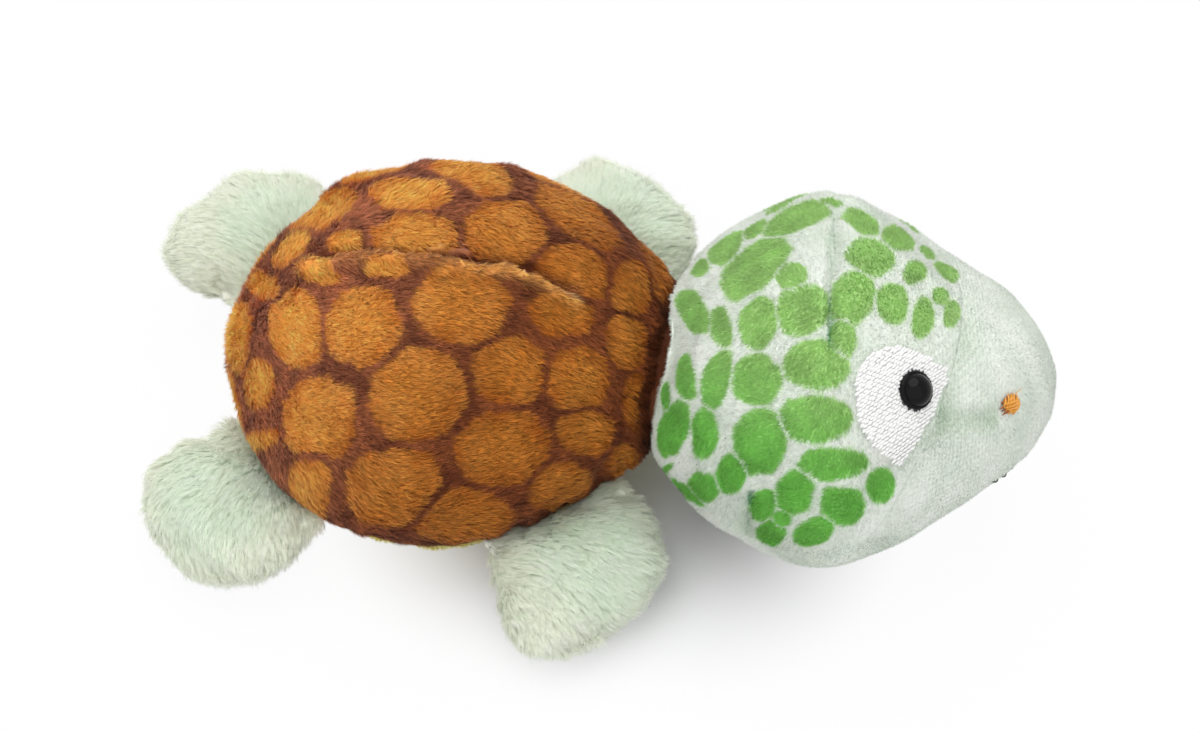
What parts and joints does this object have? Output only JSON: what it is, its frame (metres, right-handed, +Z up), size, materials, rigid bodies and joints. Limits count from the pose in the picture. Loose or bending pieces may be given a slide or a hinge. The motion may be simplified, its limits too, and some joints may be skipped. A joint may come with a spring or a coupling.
{
  "type": "plush turtle",
  "caption": "Small plush turtle that lies on its belly, with a domed patterned shell, a round head with bead eyes and soft flippers that flap.",
  "frame": {"origin": "middle of the flat patch that the belly rests on", "axes": "+X from the tail end to the head, +Y to the turtle's left, +Z up out of the shell"},
  "size_m": [0.1465, 0.0933, 0.0562],
  "materials": {
    "shell_plush": "short pile plush printed with ochre scutes on dark brown",
    "belly_plush": "short pile plush, plain yellow",
    "mint_plush": "long soft pile, pale mint",
    "head_velour": "velour printed with green spots on pale mint",
    "face_velour": "plain pale mint velour",
    "white_thread": "satin-stitched embroidery thread with a sheen",
    "gold_thread": "embroidery thread",
    "black_thread": "embroidery thread",
    "black_bead": "polished black",
    "washer_plastic": "plain moulded, hidden inside the head",
    "stuffing": "white polyester fibre fill"
  },
  "bodies": {
    "body": {"shell_cover": "shell_plush", "belly_cover": "belly_plush", "body_stuffing": "stuffing"},
    "neck": {"neck_sleeve": "head_velour", "neck_stuffing": "stuffing"},
    "head": {"head_cover": "head_velour", "face_cover": "face_velour", "head_stuffing": "stuffing", "eye_patch_left": "white_thread", "eye_patch_right": "white_thread", "eye_bead_left": "black_bead", "eye_bead_right": "black_bead", "eye_washer_left": "washer_plastic", "eye_washer_right": "washer_plastic", "nostril_left": "gold_thread", "nostril_right": "gold_thread", "mouth_stitch": "black_thread"},
    "front_right_flipper": {"front_right_flipper_top": "mint_plush", "front_right_flipper_underside": "mint_plush", "front_right_flipper_stuffing": "stuffing"},
    "rear_right_flipper": {"rear_right_flipper_top": "mint_plush", "rear_right_flipper_underside": "mint_plush", "rear_right_flipper_stuffing": "stuffing"},
    "front_left_flipper": {"front_left_flipper_top": "mint_plush", "front_left_flipper_underside": "mint_plush", "front_left_flipper_stuffing": "stuffing"},
    "rear_left_flipper": {"rear_left_flipper_top": "mint_plush", "rear_left_flipper_underside": "mint_plush", "rear_left_flipper_stuffing": "stuffing"}
  },
  "joints": [
    {"name": "head_turn", "type": "hinge", "parent": "body", "child": "neck", "pos_m": [0.0353, 0, 0.021], "axis": [0, 0, 1], "range_deg": [-12, 12], "stiffness_Nm_per_rad": 0.05},
    {"name": "head_nod", "type": "hinge", "parent": "neck", "child": "head", "pos_m": [0.0353, 0, 0.021], "axis": [0, 1, 0], "range_deg": [-14, 8], "stiffness_Nm_per_rad": 0.05},
    {"name": "front_right_flap", "type": "hinge", "parent": "body", "child": "front_right_flipper", "pos_m": [0.01924, -0.02228, 0.011], "axis": [-0.7838, -0.621, 0], "range_deg": [-15, 35], "stiffness_Nm_per_rad": 0.02},
    {"name": "rear_right_flap", "type": "hinge", "parent": "body", "child": "rear_right_flipper", "pos_m": [-0.02608, -0.02016, 0.011], "axis": [-0.6502, 0.7597, 0], "range_deg": [-15, 35], "stiffness_Nm_per_rad": 0.02},
    {"name": "front_left_flap", "type": "hinge", "parent": "body", "child": "front_left_flipper", "pos_m": [0.01678, 0.02775, 0.011], "axis": [0.8759, -0.4825, 0], "range_deg": [-37, 13], "stiffness_Nm_per_rad": 0.02},
    {"name": "rear_left_flap", "type": "hinge", "parent": "body", "child": "rear_left_flipper", "pos_m": [-0.02716, 0.01884, 0.011], "axis": [0.6061, 0.7954, 0], "range_deg": [-40, 10], "stiffness_Nm_per_rad": 0.02}
  ]
}
